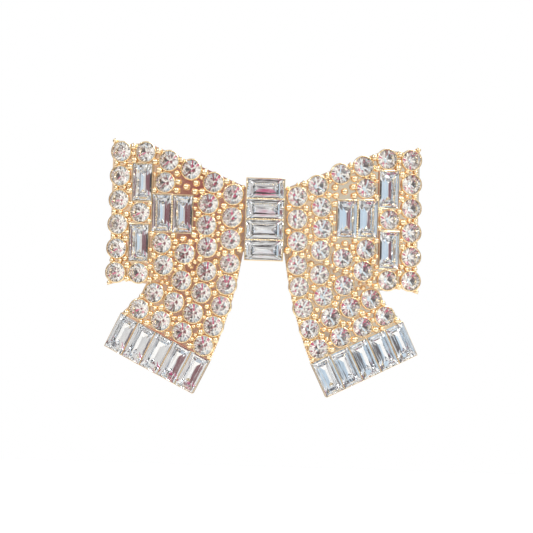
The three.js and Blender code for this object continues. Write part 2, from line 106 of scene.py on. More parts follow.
# %% Stone sizes
ROUND_RADIUS = 1.95
BAGUETTE_WIDTH = 3.95
BAGUETTE_LENGTH = 7.6
ROUND_PAVILION = 1.75
BAGUETTE_PAVILION = 1.6
GIRDLE_LOW = 0.3  # above the ground of the casting
GIRDLE_HIGH = 0.55
TABLE_TOP = 1.4
FRONT_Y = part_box("knot_baguette_1")[0].y / MM + TABLE_TOP + KNOT_RISE
BEND_AXIS_Y = FRONT_Y + BEND_RADIUS
TAIL_RADIUS = BEND_RADIUS - TAIL_SETBACK
print("front of the loops at y =", round(FRONT_Y, 3), "mm")


# %% Seats on the bent sheets
def fall(radius, x):
    """How far an arc of the given radius falls back at x."""
    return radius - math.sqrt(radius * radius - x * x)


def ground_y(radius, x):
    return BEND_AXIS_Y - radius + fall(radius, x)


def seat_on(radius, x, z, turn=0.0):
    """A seat's frame: its Z stands off the ground and its Y runs up the bow, before the turn."""
    lean = Matrix.Rotation(math.asin(x / radius), 4, "Z") @ Matrix.Rotation(turn, 4, "Y")
    return Matrix.Translation((x, ground_y(radius, x), z)) @ lean @ Matrix.Rotation(math.pi / 2, 4, "X")


def along_curve(curve, share, steps=200):
    """A point at a share of the length of a quadratic curve."""
    top, pull, bottom = (Vector(p) for p in curve)
    points = []
    for i in range(steps + 1):
        t = i / steps
        points.append(top * (1 - t) ** 2 + pull * 2 * t * (1 - t) + bottom * t * t)
    lengths = [0.0]
    for a, b in zip(points, points[1:]):
        lengths.append(lengths[-1] + (b - a).length)
    wanted = share * lengths[-1]
    for i in range(steps):
        if lengths[i + 1] >= wanted:
            part = (wanted - lengths[i]) / (lengths[i + 1] - lengths[i])
            return points[i].lerp(points[i + 1], part)
    return points[-1]


def string_places(string):
    """(piece, point) along one string, the first and last on the curve's ends."""
    centres = []
    reached = 0.0
    for piece in string["pattern"]:
        room = FOOTPRINT.get(piece, piece)
        centres.append(reached + room / 2)
        reached += room
    span = centres[-1] - centres[0]
    places = []
    for piece, centre in zip(string["pattern"], centres):
        places.append((piece, along_curve(string["curve"], (centre - centres[0]) / span)))
    return places


# %% Every stone of the right half, and the knot's
def tail_row_point(along, up):
    """A point on the plan, measured along and up from the middle of a tail's row of baguettes."""
    turned = Matrix.Rotation(TAIL_TURN, 2) @ Vector((along, up))
    return TAIL_CENTRE + turned


stones = []  # kind, name, x, z, turn and sheet radius of each stone on the right half
bare_places = []  # middles of the bare patches of ground
loop_baguettes = 0
for strings, radius in ((LOOP_STRINGS, BEND_RADIUS), (TAIL_STRINGS, TAIL_RADIUS)):
    for string in strings:
        number = 0
        for piece, point in string_places(string):
            if piece == "|":
                loop_baguettes += 1
                stones.append(("|", f"loop_baguette_{loop_baguettes}", point.x, point.y, 0.0, radius))
            elif piece == "o":
                number += 1
                stones.append(("o", f"{string['name']}_stone_{number}", point.x, point.y, 0.0, radius))
            else:
                bare_places.append(point)
for i in range(TAIL_COUNT):
    point = tail_row_point((i - (TAIL_COUNT - 1) / 2) * TAIL_PITCH, 0)
    stones.append(("|", f"tail_baguette_{i + 1}", point.x, point.y, -TAIL_TURN, TAIL_RADIUS))

seats = {}  # name of each of the 94 stones, with its kind and its frame
for kind, name, x, z, turn, radius in stones:
    seats[f"right_{name}"] = (kind, seat_on(radius, x, z, turn))
    seats[f"left_{name}"] = (kind, seat_on(radius, -x, z, -turn))
for i in range(KNOT_COUNT):
    z = ((KNOT_COUNT - 1) / 2 - i) * KNOT_PITCH
    frame_here = Matrix.Translation((0, FRONT_Y - KNOT_RISE, z)) @ Matrix.Rotation(math.pi / 2, 4, "Y")
    seats[f"knot_baguette_{i + 1}"] = ("|", frame_here @ Matrix.Rotation(math.pi / 2, 4, "X"))

worst = 0.0
for name, (kind, seat) in seats.items():
    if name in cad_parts:
        low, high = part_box(name)
        middle = (low + high) / 2 / MM
        worst = max(worst, math.hypot(middle.x - seat.translation.x, middle.z - seat.translation.z))
print(len(seats), "stones; largest sideways step from the model's solids:", round(worst, 3), "mm")


# %% [markdown]
# ## Nodes, colours and pieces
# Three small helpers serve the whole lesson.
# One turns a hex colour, as a painter names it, into the linear light that a render adds up.
# One adds a node with its settings and links.
# One turns a finished bmesh into an object whose place is in its mesh, and lets it ride on its body.

# %% Helpers
def linear(code, alpha=1.0):
    """sRGB hex to linear RGBA."""
    channels = [int(code[i:i + 2], 16) / 255 for i in (1, 3, 5)]
    return (*[c / 12.92 if c <= 0.04045 else ((c + 0.055) / 1.055) ** 2.4 for c in channels], alpha)


def add_node(tree, kind, inputs=None, **settings):
    """Adds a node. Inputs go by socket name or number: a value, or another node's output to link."""
    node = tree.nodes.new(kind)
    for setting, value in settings.items():
        setattr(node, setting, value)
    for socket, value in (inputs or {}).items():
        if isinstance(value, bpy.types.NodeSocket):
            tree.links.new(value, node.inputs[socket])
        else:
            node.inputs[socket].default_value = value
    return node


def new_material(name):
    """An empty material with its output node."""
    material = bpy.data.materials.new(name)
    material.use_nodes = True
    material.node_tree.nodes.clear()
    output = material.node_tree.nodes.new("ShaderNodeOutputMaterial")
    return material, material.node_tree, output


def finish_piece(name, bm, materials, body=BODY, smooth=None):
    """A bmesh in millimetres becomes a piece in metres. smooth is the sharpest angle still shaded round."""
    mesh = bpy.data.meshes.new(name)
    bm.to_mesh(mesh)
    bm.free()
    mesh.transform(Matrix.Scale(MM, 4))
    for material in materials:
        mesh.materials.append(material)
    if smooth is not None:
        mesh.shade_smooth()
        mesh.set_sharp_from_angle(angle=math.radians(smooth))
    piece = bpy.data.objects.new(name, mesh)
    bpy.context.scene.collection.objects.link(piece)
    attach(piece, body)
    return piece


# %% [markdown]
# ## Gold plate
# The bow is a zinc alloy casting, tumbled smooth and flashed with yellow gold a fraction of a micron thick.
# Gold is a metal with no colour of its own below the surface: all its colour is in what it reflects.
# Tumbling leaves the high spots polished and a faint orange peel, about half a millimetre across. The ground
# between the stones can't be tumbled, so it is softer; its copy of the plate is also a little darker and
# rosier than the rims, which is painted shade for the recesses between the stones.

# %% Gold plate for the rims and balls, and a darker copy with painted shade for the ground
def gold_plate(name, colour, second_colour, roughness, peel_mm, peel_depth):
    """Plated casting: two close tones in soft clouds, with an orange peel of the given size."""
    material, tree, output = new_material(name)
    place = add_node(tree, "ShaderNodeTexCoord").outputs["Object"]
    clouds = add_node(tree, "ShaderNodeTexNoise", {"Vector": place, "Scale": 1 / (4 * MM), "Detail": 2.0})
    tone = add_node(tree, "ShaderNodeMix",
                    {0: clouds.outputs["Fac"], 6: linear(colour), 7: linear(second_colour)},
                    data_type="RGBA")
    peel = add_node(tree, "ShaderNodeTexNoise", {"Vector": place, "Scale": 1 / (peel_mm * MM), "Detail": 3.0})
    rough = add_node(tree, "ShaderNodeMapRange",
                     {"Value": peel.outputs["Fac"], "To Min": roughness * 0.7, "To Max": roughness * 1.4})
    bump = add_node(tree, "ShaderNodeBump",
                    {"Height": peel.outputs["Fac"], "Strength": 1.0, "Distance": peel_depth * MM})
    shader = add_node(tree, "ShaderNodeBsdfPrincipled",
                      {"Base Color": tone.outputs[2], "Metallic": 1.0, "Roughness": rough.outputs["Result"],
                       "Normal": bump.outputs["Normal"]})
    tree.links.new(shader.outputs["BSDF"], output.inputs["Surface"])
    return material


GOLD = gold_plate("gold_plated_zinc", "#FBEAC8", "#F5DDB4", 0.13, 0.55, 0.012)
# The ground's copy is rougher, and its darker, rosier tones are painted shade for the recesses.
GOLD_GROUND_PAINTED_SHADE = gold_plate("gold_plated_ground_painted_shade", "#F3DDC2", "#EBCEB2", 0.17, 0.8, 0.015)

# %% [markdown]
# ## Foiled crystal
# A rhinestone is pressed lead-free glass, ground into facets, with a mirror foil behind.
# Light goes in through the crown, is turned back twice by the foiled pavilion, and comes out again bent.
# So one closed stone carries clear glass in front of the girdle and foil behind it; on a round stone, half
# the pavilion's facets take a darker foil, which is a painted dark reflection.
# The foil follows the pressed glass, which is never quite flat, and that draws the streaks inside a stone.

# %% Clear crown glass
def crown_glass(name, tint):
    material, tree, output = new_material(name)
    place = add_node(tree, "ShaderNodeTexCoord").outputs["Object"]
    wear = add_node(tree, "ShaderNodeTexNoise", {"Vector": place, "Scale": 1 / (1.1 * MM), "Detail": 2.0})
    bump = add_node(tree, "ShaderNodeBump",
                    {"Height": wear.outputs["Fac"], "Strength": 1.0, "Distance": 0.006 * MM})
    shader = add_node(tree, "ShaderNodeBsdfPrincipled",
                      {"Base Color": linear(tint), "Roughness": 0.0, "IOR": 1.56, "Transmission Weight": 1.0,
                       "Normal": bump.outputs["Normal"]})
    tree.links.new(shader.outputs["BSDF"], output.inputs["Surface"])
    return material


# %% Mirror foil, seen from inside the glass
def mirror_foil(name, light_tone, dark_tone, streak_mm, depth):
    """Foil whose waves are given in the stone's own millimetres, across and along it."""
    material, tree, output = new_material(name)
    own = add_node(tree, "ShaderNodeAttribute", attribute_name="stone_place").outputs["Vector"]
    stretched = add_node(tree, "ShaderNodeVectorMath", {0: own, 1: [1 / s for s in streak_mm]},
                         operation="MULTIPLY")
    waves = add_node(tree, "ShaderNodeTexNoise",
                     {"Vector": stretched.outputs[0], "Scale": 1.0, "Detail": 1.0})
    tone = add_node(tree, "ShaderNodeMix",
                    {0: waves.outputs["Fac"], 6: linear(light_tone), 7: linear(dark_tone)},
                    data_type="RGBA")
    bump = add_node(tree, "ShaderNodeBump",
                    {"Height": waves.outputs["Fac"], "Strength": 1.0, "Distance": depth * MM})
    shader = add_node(tree, "ShaderNodeBsdfPrincipled",
                      {"Base Color": tone.outputs[2], "Metallic": 1.0, "Roughness": 0.04,
                       "Normal": bump.outputs["Normal"]})
    tree.links.new(shader.outputs["BSDF"], output.inputs["Surface"])
    return material


CROWN = crown_glass("clear_crown_glass", "#FFFFFF")
PALE_CROWN = crown_glass("pale_crown_glass", "#FBFDFF")
FOIL = mirror_foil("silver_foil", "#FFFFFF", "#FAF9F7", (1.6, 1.6, 1.6), 0.014)
# The darker foil for the round stones' pavilion breaks is a painted dark reflection.
FOIL_PAINTED_DARK_REFLECTION = mirror_foil("silver_foil_painted_dark_reflection", "#F3F0EE", "#BCB5B1", (1.0, 1.0, 1.0), 0.014)
PALE_FOIL = mirror_foil("pale_silver_foil", "#FFFFFF", "#ECEFF3", (0.7, 3.5, 1.5), 0.018)


# %% [markdown]
# ## Cutting a round stone
# A cutter starts from a round blank and grinds one flat facet after another, turning the stone between cuts.
# A bisecting plane does the same: it clears what lies beyond it, and the open cut is filled as one facet.
# The crown gets a table, eight mains and eight breaks; the pavilion gets eight mains and eight breaks.

# %% One cut
def grind(bm, azimuth, angle, reach, height, side=1):
    """Grinds the facet through (reach, height) at an azimuth; side is -1 on the pavilion."""
    normal = Vector((math.sin(angle) * math.cos(azimuth), math.sin(angle) * math.sin(azimuth),
                     side * math.cos(angle)))
    through = Vector((reach * math.cos(azimuth), reach * math.sin(azimuth), height))
    everything = bm.verts[:] + bm.edges[:] + bm.faces[:]
    cut = bmesh.ops.bisect_plane(bm, geom=everything, dist=1e-5, plane_co=through, plane_no=normal,
                                 clear_outer=True)
    rim = [item for item in cut["geom_cut"] if isinstance(item, bmesh.types.BMEdge) and item.is_boundary]
    if rim:
        bmesh.ops.edgeloop_fill(bm, edges=rim)


def foil_below_girdle(bm):
    """Facets before the girdle are clear glass, material 0; the others carry the foil, material 1."""
    for face in bm.faces:
        face.material_index = 0 if face.calc_center_median().z > GIRDLE_HIGH + 0.01 else 1


# %% The round stone
def cut_round_stone():
    bm = bmesh.new()
    culet = GIRDLE_LOW - ROUND_PAVILION
    bmesh.ops.create_cone(bm, cap_ends=True, segments=48, radius1=ROUND_RADIUS, radius2=ROUND_RADIUS,
                          depth=TABLE_TOP - culet)
    bmesh.ops.translate(bm, vec=(0, 0, (TABLE_TOP + culet) / 2), verts=bm.verts)
    table = 0.53 * ROUND_RADIUS  # corner of the table
    main = math.atan2(TABLE_TOP - GIRDLE_HIGH, ROUND_RADIUS - table)
    half_step = math.pi / 8
    break_reach = 0.985 * ROUND_RADIUS
    break_angle = main + math.radians(6)
    pavilion_main = math.atan2(ROUND_PAVILION, ROUND_RADIUS)
    for i in range(8):
        azimuth = i * math.pi / 4
        grind(bm, azimuth, main, ROUND_RADIUS, GIRDLE_HIGH)
        grind(bm, azimuth + half_step, break_angle, break_reach, GIRDLE_HIGH)
        grind(bm, azimuth, pavilion_main, ROUND_RADIUS, GIRDLE_LOW, -1)
        grind(bm, azimuth + half_step, pavilion_main + math.radians(1.5), break_reach, GIRDLE_LOW, -1)
    foil_below_girdle(bm)
    # The pavilion's breaks lie between the mains and take the darker foil, material 2: a painted dark
    # reflection of the room, which draws the spokes.
    for face in bm.faces:
        steps = math.atan2(face.normal.y, face.normal.x) / half_step
        if face.normal.z < -0.3 and round(steps) % 2:
            face.material_index = 2
    print("round stone:", len(bm.faces), "facets,", sum(f.material_index == 2 for f in bm.faces), "dark")
    return bm


# %% [markdown]
# ## Cutting a baguette
# A baguette is step cut: two narrow steps run round the table, and the pavilion is a keel with hipped ends.
# Seen through the table, the hips draw a cross at each end, and the keel parts a light half from a dark one.

# %% The baguette
def cut_baguette():
    bm = bmesh.new()
    keel = GIRDLE_LOW - BAGUETTE_PAVILION
    table_top = 1.3
    bmesh.ops.create_cube(bm, size=1.0)
    bmesh.ops.scale(bm, vec=(BAGUETTE_WIDTH, BAGUETTE_LENGTH, table_top - keel), verts=bm.verts)
    bmesh.ops.translate(bm, vec=(0, 0, (table_top + keel) / 2), verts=bm.verts)
    step_rise = 0.35
    lower_step = math.radians(52)
    upper_step = math.radians(36)
    end_hip = 2.5  # from an end of the stone to where its pavilion's keel begins
    steps = [(lower_step, 0.0, GIRDLE_HIGH),
             (upper_step, step_rise / math.tan(lower_step), GIRDLE_HIGH + step_rise)]
    for i in range(4):
        half = (BAGUETTE_WIDTH if i % 2 == 0 else BAGUETTE_LENGTH) / 2
        hip = BAGUETTE_WIDTH / 2 if i % 2 == 0 else end_hip
        for angle, inset, height in steps:
            grind(bm, i * math.pi / 2, angle, half - inset, height)
        grind(bm, i * math.pi / 2, math.atan2(BAGUETTE_PAVILION, hip), half, GIRDLE_LOW, -1)
    foil_below_girdle(bm)
    print("baguette:", len(bm.faces), "facets")
    return bm


# %% [markdown]
# ## Setting the stones
# A setter drops each stone into its cup by hand, so no two stand quite alike.
# Every round stone is turned by its own angle and every stone leans by up to a degree, from a seeded draw.
# Each stone also remembers its own coordinates, so the waves in the foil follow the stone and not the bow.

# %% Set all 94
def stone_mesh(name, bm):
    mesh = bpy.data.meshes.new(name)
    bm.to_mesh(mesh)
    bm.free()
    own = mesh.attributes.new("stone_place", "FLOAT_VECTOR", "POINT")
    for vertex in mesh.vertices:
        own.data[vertex.index].vector = vertex.co
    return mesh


def set_stone(name, kind, seat, draw):
    mesh = (round_mesh if kind == "o" else baguette_mesh).copy()
    mesh.name = f"cut_{name}"
    spin = draw.uniform(0, math.tau) if kind == "o" else math.pi * draw.randint(0, 1)
    lean = Matrix.Rotation(math.radians(draw.uniform(-1, 1)), 4, "X")
    lean = lean @ Matrix.Rotation(math.radians(draw.uniform(-1, 1)), 4, "Y")
    mesh.transform(Matrix.Scale(MM, 4) @ seat @ lean @ Matrix.Rotation(spin, 4, "Z"))
    # Round stones also take the foil with the painted dark reflection, as material 2.
    for material in (CROWN, FOIL, FOIL_PAINTED_DARK_REFLECTION) if kind == "o" else (PALE_CROWN, PALE_FOIL):
        mesh.materials.append(material)
    piece = bpy.data.objects.new(mesh.name, mesh)
    bpy.context.scene.collection.objects.link(piece)
    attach(piece, BODY)
    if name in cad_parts:
        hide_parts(name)


round_mesh = stone_mesh("round_stone", cut_round_stone())
baguette_mesh = stone_mesh("baguette_stone", cut_baguette())
setter = random.Random(12)
for name, (kind, seat) in seats.items():
    set_stone(name, kind, seat, setter)
print("set", len(seats), "stones")


# %% [markdown]
# ## Cups for the round stones
# In the casting every round stone has a cup: a seat cone, a thin rim folded over the girdle,
# and a boss behind.
# A cup is a body of revolution, so one section is spun once about the stone's axis.
# The rim is about a quarter of a millimetre wide, and where two cups meet they run into each other,
# as cast metal does.

# %% The cup's section, spun
CUP_RADIUS = 2.27
SHEET = 1.2  # thickness of the ground
CUP_BACK = -2.15
CUP_STEPS = 28


def ring_from(section, steps):
    """Spins a closed section of (radius, height) once round Z."""
    bm = bmesh.new()
    corners = [bm.verts.new((radius, 0, height)) for radius, height in section]
    for a, b in zip(corners, corners[1:] + corners[:1]):
        bm.edges.new((a, b))
    bmesh.ops.spin(bm, geom=bm.verts[:] + bm.edges[:], cent=(0, 0, 0), axis=(0, 0, 1), angle=math.tau,
                   steps=steps,
                   use_merge=True)
    bmesh.ops.remove_doubles(bm, verts=bm.verts, dist=1e-4)
    bmesh.ops.recalc_face_normals(bm, faces=bm.faces)
    return bm


def round_cup():
    return ring_from([
        (0.8, -1.5), (1.93, 0.1), (1.96, 0.5), (2.0, 0.64), (2.08, 0.72), (2.17, 0.68), (2.24, 0.56),
        (CUP_RADIUS, 0.4), (CUP_RADIUS, 0.0), (2.08, -1.0), (2.0, CUP_BACK + 0.15), (1.85, CUP_BACK),
        (0.95, CUP_BACK),
        (0.8, CUP_BACK + 0.15),
    ], CUP_STEPS)


# %% [markdown]
# ## Boxes for the baguettes
# A baguette sits in a box: the same idea with four straight walls, and a slot behind.
# A cube is inset for the wall, the middle is pushed down for the seat, and the rim's edges are bevelled.

# %% A box with a slot behind
def stone_box(width, length, wall, rim_height, back=CUP_BACK):
    bm = bmesh.new()
    bmesh.ops.create_cube(bm, size=1.0)
    bmesh.ops.scale(bm, vec=(width + 2 * wall, length + 2 * wall, rim_height - back), verts=bm.verts)
    bmesh.ops.translate(bm, vec=(0, 0, (rim_height + back) / 2), verts=bm.verts)
    for up, thickness, push in ((1, wall, -1.6 - rim_height), (-1, width * 0.3, 0.35)):
        face = max(bm.faces, key=lambda f: f.calc_center_median().z * up)
        bmesh.ops.inset_region(bm, faces=[face], thickness=thickness)
        bmesh.ops.inset_region(bm, faces=[face], thickness=0.001)
        bmesh.ops.translate(bm, vec=(0, 0, push), verts=face.verts)
    rim = [e for e in bm.edges if all(v.co.z > rim_height - 0.01 for v in e.verts)]
    bmesh.ops.bevel(bm, geom=rim, offset=wall * 0.28, offset_type="OFFSET", segments=2, profile=0.5,
                    affect="EDGES", material=-1)
    return bm


print("box faces:", len(stone_box(BAGUETTE_WIDTH, BAGUETTE_LENGTH, 0.2, 0.6).faces))

# %% [markdown]
# ## Gathering copies
# Cups, boxes and balls are all part of one casting, so their copies are gathered into one mesh each.

# %% Gather copies of a shape
def plain_object(name, bm):
    mesh = bpy.data.meshes.new(name)
    bm.to_mesh(mesh)
    bm.free()
    return bpy.data.objects.new(name, mesh)


def add_copies(bm, shape, matrices):
    """Adds a copy of the shape at every matrix, and frees the shape."""
    single = bpy.data.meshes.new("single")
    shape.to_mesh(single)
    shape.free()
    for matrix in matrices:
        start = len(bm.verts)
        bm.from_mesh(single)
        bm.verts.ensure_lookup_table()
        bmesh.ops.transform(bm, matrix=matrix, verts=bm.verts[start:])
    bpy.data.meshes.remove(single)


def gather(name, shape, matrices, materials, smooth=40):
    """One piece made of a copy of the shape at every matrix."""
    whole = bmesh.new()
    add_copies(whole, shape, matrices)
    piece = finish_piece(name, whole, materials, smooth=smooth)
    print(name, "copies:", len(matrices), "faces:", len(piece.data.polygons))
    return piece


round_seats = [seat for kind, seat in seats.values() if kind == "o"]
loop_boxes = [seat for name, (kind, seat) in seats.items() if "loop_baguette" in name]
tail_boxes = [seat for name, (kind, seat) in seats.items() if "tail_baguette" in name]
knot_boxes = [seat for name, (kind, seat) in seats.items() if "knot_baguette" in name]
cups = gather("round_cups", round_cup(), round_seats, [GOLD])
loop_box_piece = gather("loop_boxes", stone_box(BAGUETTE_WIDTH, BAGUETTE_LENGTH, 0.2, 0.62), loop_boxes,
                        [GOLD])
tail_box_piece = gather("tail_boxes", stone_box(BAGUETTE_WIDTH, BAGUETTE_LENGTH, 0.13, 0.5), tail_boxes,
                        [GOLD])
knot_box_piece = gather("knot_boxes", stone_box(BAGUETTE_WIDTH, BAGUETTE_LENGTH, 0.14, 0.5), knot_boxes,
                        [GOLD])

# %% [markdown]
# ## The ground
# Between the cups lies the ground, a sheet of metal about a millimetre thick.
# The loops and the tails are two levels of one casting, and each is bent to the head.
# A face is drawn flat from the outline, sliced upright every two millimetres and extruded.
# Then every slice is moved back to the arc, and a hole is cut for each cup and box.
# The cups stand a little over the outline, which gives the scalloped edge.

# %% Outlines of the right half
LOOP_OUTLINE = [
    (3.0, 6.1), (11.4, 9.7), (24.8, 15.3), (28.4, 14.9), (31.9, 16.0), (31.3, 13.0), (31.7, 0.8),
    (31.8, -11.8),
    (32.45, -14.5), (28.9, -13.4), (24.2, -14.0), (16.5, -10.6), (11.7, -8.6), (3.0, -6.5),
]
TAIL_INNER_EDGE = [(4.6, -8.8), (6.0, -18.5), (10.4, -29.6)]
TAIL_OUTER_EDGE = [(28.9, -19.9), (25.4, -16.4)]
TAIL_ROOT = {"inner": (4.0, -5.4), "outer": (22.5, -10.2)}
row_half = ((TAIL_COUNT - 1) * TAIL_PITCH + BAGUETTE_WIDTH) / 2
row_corners = [tail_row_point(side * row_half, end * BAGUETTE_LENGTH / 2)
               for side, end in ((-1, 1), (-1, -1), (1, -1), (1, 1))]
inner_edge = [along_curve(TAIL_INNER_EDGE, i / 8) for i in range(8)]
TAIL_OUTLINE = [TAIL_ROOT["inner"], *inner_edge, *row_corners, *TAIL_OUTER_EDGE, TAIL_ROOT["outer"]]


# %% Holes for the cups and boxes
def drills():
    """A cutter through the sheets at every stone, just inside its cup or box."""
    depth = 4.0
    bm = bmesh.new()
    cylinder = bmesh.new()
    bmesh.ops.create_cone(cylinder, cap_ends=True, segments=24, radius1=2.05, radius2=2.05, depth=depth)
    add_copies(bm, cylinder, round_seats)
    for boxes, wall in ((loop_boxes, 0.06), (tail_boxes, 0.04)):
        block = bmesh.new()
        bmesh.ops.create_cube(block, size=1.0)
        bmesh.ops.scale(block, vec=(BAGUETTE_WIDTH + wall, BAGUETTE_LENGTH + wall, depth), verts=block.verts)
        add_copies(bm, block, boxes)
    block = bmesh.new()
    bmesh.ops.create_cube(block, size=1.0)
    bmesh.ops.scale(block, vec=(BAGUETTE_LENGTH + 0.2, depth, KNOT_COUNT * KNOT_PITCH - 0.2),
                    verts=block.verts)
    add_copies(bm, block, [Matrix.Translation((0, FRONT_Y, 0))])
    return plain_object("drills", bm)


def drilled(bm, cutter):
    """The bmesh with the cutter taken away from it."""
    blank = plain_object("blank", bm)
    bpy.context.scene.collection.objects.link(blank)
    cut = blank.modifiers.new("cut", "BOOLEAN")
    cut.operation = "DIFFERENCE"
    cut.solver = "MANIFOLD"
    cut.object = cutter
    shaped = bmesh.new()
    shaped.from_object(blank, bpy.context.evaluated_depsgraph_get())
    bpy.data.objects.remove(blank)
    return shaped


# %% Bent sheets
def bent_sheet(outline, radius, thickness, side):
    """One half's sheet: side is 1 for the right half and -1 for the left."""
    sheet = bmesh.new()
    face = sheet.faces.new([sheet.verts.new((side * x, 0, z)) for x, z in outline])
    bmesh.ops.triangulate(sheet, faces=[face])
    step = 2.0
    for i in range(1, 18):
        everything = sheet.verts[:] + sheet.edges[:] + sheet.faces[:]
        bmesh.ops.bisect_plane(sheet, geom=everything, dist=1e-4, plane_co=(side * i * step, 0, 0),
                               plane_no=(1, 0, 0))
    made = bmesh.ops.extrude_face_region(sheet, geom=sheet.faces[:])
    back = [v for v in made["geom"] if isinstance(v, bmesh.types.BMVert)]
    bmesh.ops.translate(sheet, vec=(0, thickness, 0), verts=back)
    for vertex in sheet.verts:
        vertex.co.y += ground_y(radius, vertex.co.x)
    bmesh.ops.recalc_face_normals(sheet, faces=sheet.faces)
    return sheet


drill_object = drills()
bpy.context.scene.collection.objects.link(drill_object)
ground_bm = bmesh.new()
for side in (1, -1):
    for outline, radius in ((LOOP_OUTLINE, BEND_RADIUS), (TAIL_OUTLINE, TAIL_RADIUS)):
        sheet = bent_sheet(outline, radius, SHEET, side)
        done = drilled(sheet, drill_object)
        print("drilled sheet:", len(done.faces), "faces,", round(done.calc_volume(), 1), "mm3")
        add_copies(ground_bm, done, [Matrix()])
bpy.data.objects.remove(drill_object)
# The ground takes the darker plate: painted shade between the cups.
ground = finish_piece("bow_ground", ground_bm, [GOLD_GROUND_PAINTED_SHADE], smooth=30)
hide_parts("bow_casting")
print("ground faces:", len(ground.data.polygons))

# %% [markdown]
# ## Balls
# Every gap between the cups is filled with small cast balls, which hide the ground and catch the light.
# Nobody draws them one by one: the largest ball that fits goes into the widest gap first, then the next.
# A ball is a coarse UV sphere cut flat near its foot and sunk a little, because there are hundreds.

# %% How much room is free round a point
BALL_LARGEST = 0.72
BALL_SMALLEST = 0.44
BALL_GAP = 0.08
RIM_LAP = 0.22  # how far a ball runs into a rim


def edge_distance(point, outline):
    """Distance to the nearest edge of an outline, negative outside it."""
    inside = False
    nearest = 1e9
    for (ax, az), (bx, bz) in zip(outline, outline[1:] + outline[:1]):
        if (az > point.y) != (bz > point.y) and point.x < (bx - ax) * (point.y - az) / (bz - az) + ax:
            inside = not inside
        on_edge, share = geometry.intersect_point_line(point, Vector((ax, az)), Vector((bx, bz)))
        on_edge = Vector((ax, az)).lerp(Vector((bx, bz)), min(1, max(0, share)))
        nearest = min(nearest, (point - on_edge).length)
    return nearest if inside else -nearest


def stone_distance(point, kind, x, z, turn):
    """Distance from a point on the plan to the cup or box of a stone."""
    offset = point - Vector((x, z))
    if kind == "o":
        return offset.length - CUP_RADIUS
    own = Matrix.Rotation(turn, 2) @ offset
    beyond = Vector((abs(own.x) - BAGUETTE_WIDTH / 2 - 0.2, abs(own.y) - BAGUETTE_LENGTH / 2 - 0.2))
    if beyond.x > 0 and beyond.y > 0:
        return beyond.length
    return max(beyond)


# %% Fill the gaps
KNOT_HALF = 4.1
CLUSTERS = [  # balls round the bare patches: the patch, then the balls' places from its middle
    (0, [(0.0, 0.1), (1.73, 1.1), (2.0, -0.7), (2.0, 2.8), (-2.0, 0.9), (-1.8, -0.85)]),
    (1, [(-0.1, -0.1), (1.4, -0.75), (-1.65, -0.75), (-2.4, 0.75)]),
]
CLUSTER_BALL = 0.72


def fill_gaps(outline, radius, keep_off):
    """Balls as (x, z, size, sheet radius), packed from the widest gap down."""
    near = [s for s in stones if s[5] == radius]
    low_x, high_x = min(p[0] for p in outline), max(p[0] for p in outline)
    low_z, high_z = min(p[1] for p in outline), max(p[1] for p in outline)
    step = 0.22
    spots = []
    for i in range(int((high_x - low_x) / step)):
        for k in range(int((high_z - low_z) / step)):
            point = Vector((low_x + (i + 0.5) * step, low_z + (k + 0.5) * step))
            room = min([stone_distance(point, *s[:1], *s[2:5]) for s in near])
            if room < BALL_SMALLEST - RIM_LAP or point.x < KNOT_HALF + BALL_SMALLEST:
                continue
            room = min(room + RIM_LAP, edge_distance(point, outline) + RIM_LAP, point.x - KNOT_HALF)
            room = min([room] + [(point - Vector(p)).length - r for p, r in keep_off])
            if room >= BALL_SMALLEST:
                spots.append((-round(min(room, BALL_LARGEST), 3), point.x, point.y))
    balls = []
    for room, x, z in sorted(spots):
        size = min([-room] + [math.hypot(x - b[0], z - b[1]) - b[2] - BALL_GAP for b in balls])
        if size >= BALL_SMALLEST:
            balls.append((x, z, size, radius))
    return balls


balls = []
patches = []
for patch, offsets in CLUSTERS:
    middle = bare_places[patch]
    patches.append((middle, 1.5 if patch == 0 else 1.0))
    balls += [(middle.x + dx, middle.y + dz, CLUSTER_BALL, BEND_RADIUS) for dx, dz in offsets]
keep_off = patches + [((x, z), size) for x, z, size, radius in balls]
balls += fill_gaps(LOOP_OUTLINE, BEND_RADIUS, keep_off)
tail_balls = [
    b for b in fill_gaps(TAIL_OUTLINE, TAIL_RADIUS, [])
    if edge_distance(Vector(b[:2]), LOOP_OUTLINE) < -b[2] * 0.5
]
balls += tail_balls
print(len(balls), "balls on each half")


# %% Cast the balls
BALL_FOOT = -0.8  # height of the flat cut, in radii
BALL_LIFT = 0.75  # height of the centre over its seat, in radii


def half_ball():
    bm = bmesh.new()
    bmesh.ops.create_uvsphere(bm, u_segments=10, v_segments=6, radius=1.0)
    everything = bm.verts[:] + bm.edges[:] + bm.faces[:]
    bmesh.ops.bisect_plane(bm, geom=everything, dist=1e-5, plane_co=(0, 0, BALL_FOOT), plane_no=(0, 0, -1),
                           clear_outer=True)
    bmesh.ops.edgeloop_fill(bm, edges=[e for e in bm.edges if e.is_boundary])
    bmesh.ops.recalc_face_normals(bm, faces=bm.faces)
    return bm


ball_seats = []
for x, z, size, radius in balls:
    for side in (1, -1):
        lift = Matrix.Translation((0, 0, size * BALL_LIFT))
        ball_seats.append(seat_on(radius, side * x, z) @ lift @ Matrix.Scale(size, 4))
ball_piece = gather("cast_balls", half_ball(), ball_seats, [GOLD], smooth=80)

# %% [markdown]
# ## The knot
# The four baguettes of the knot lie across a raised channel that holds the two loops together.

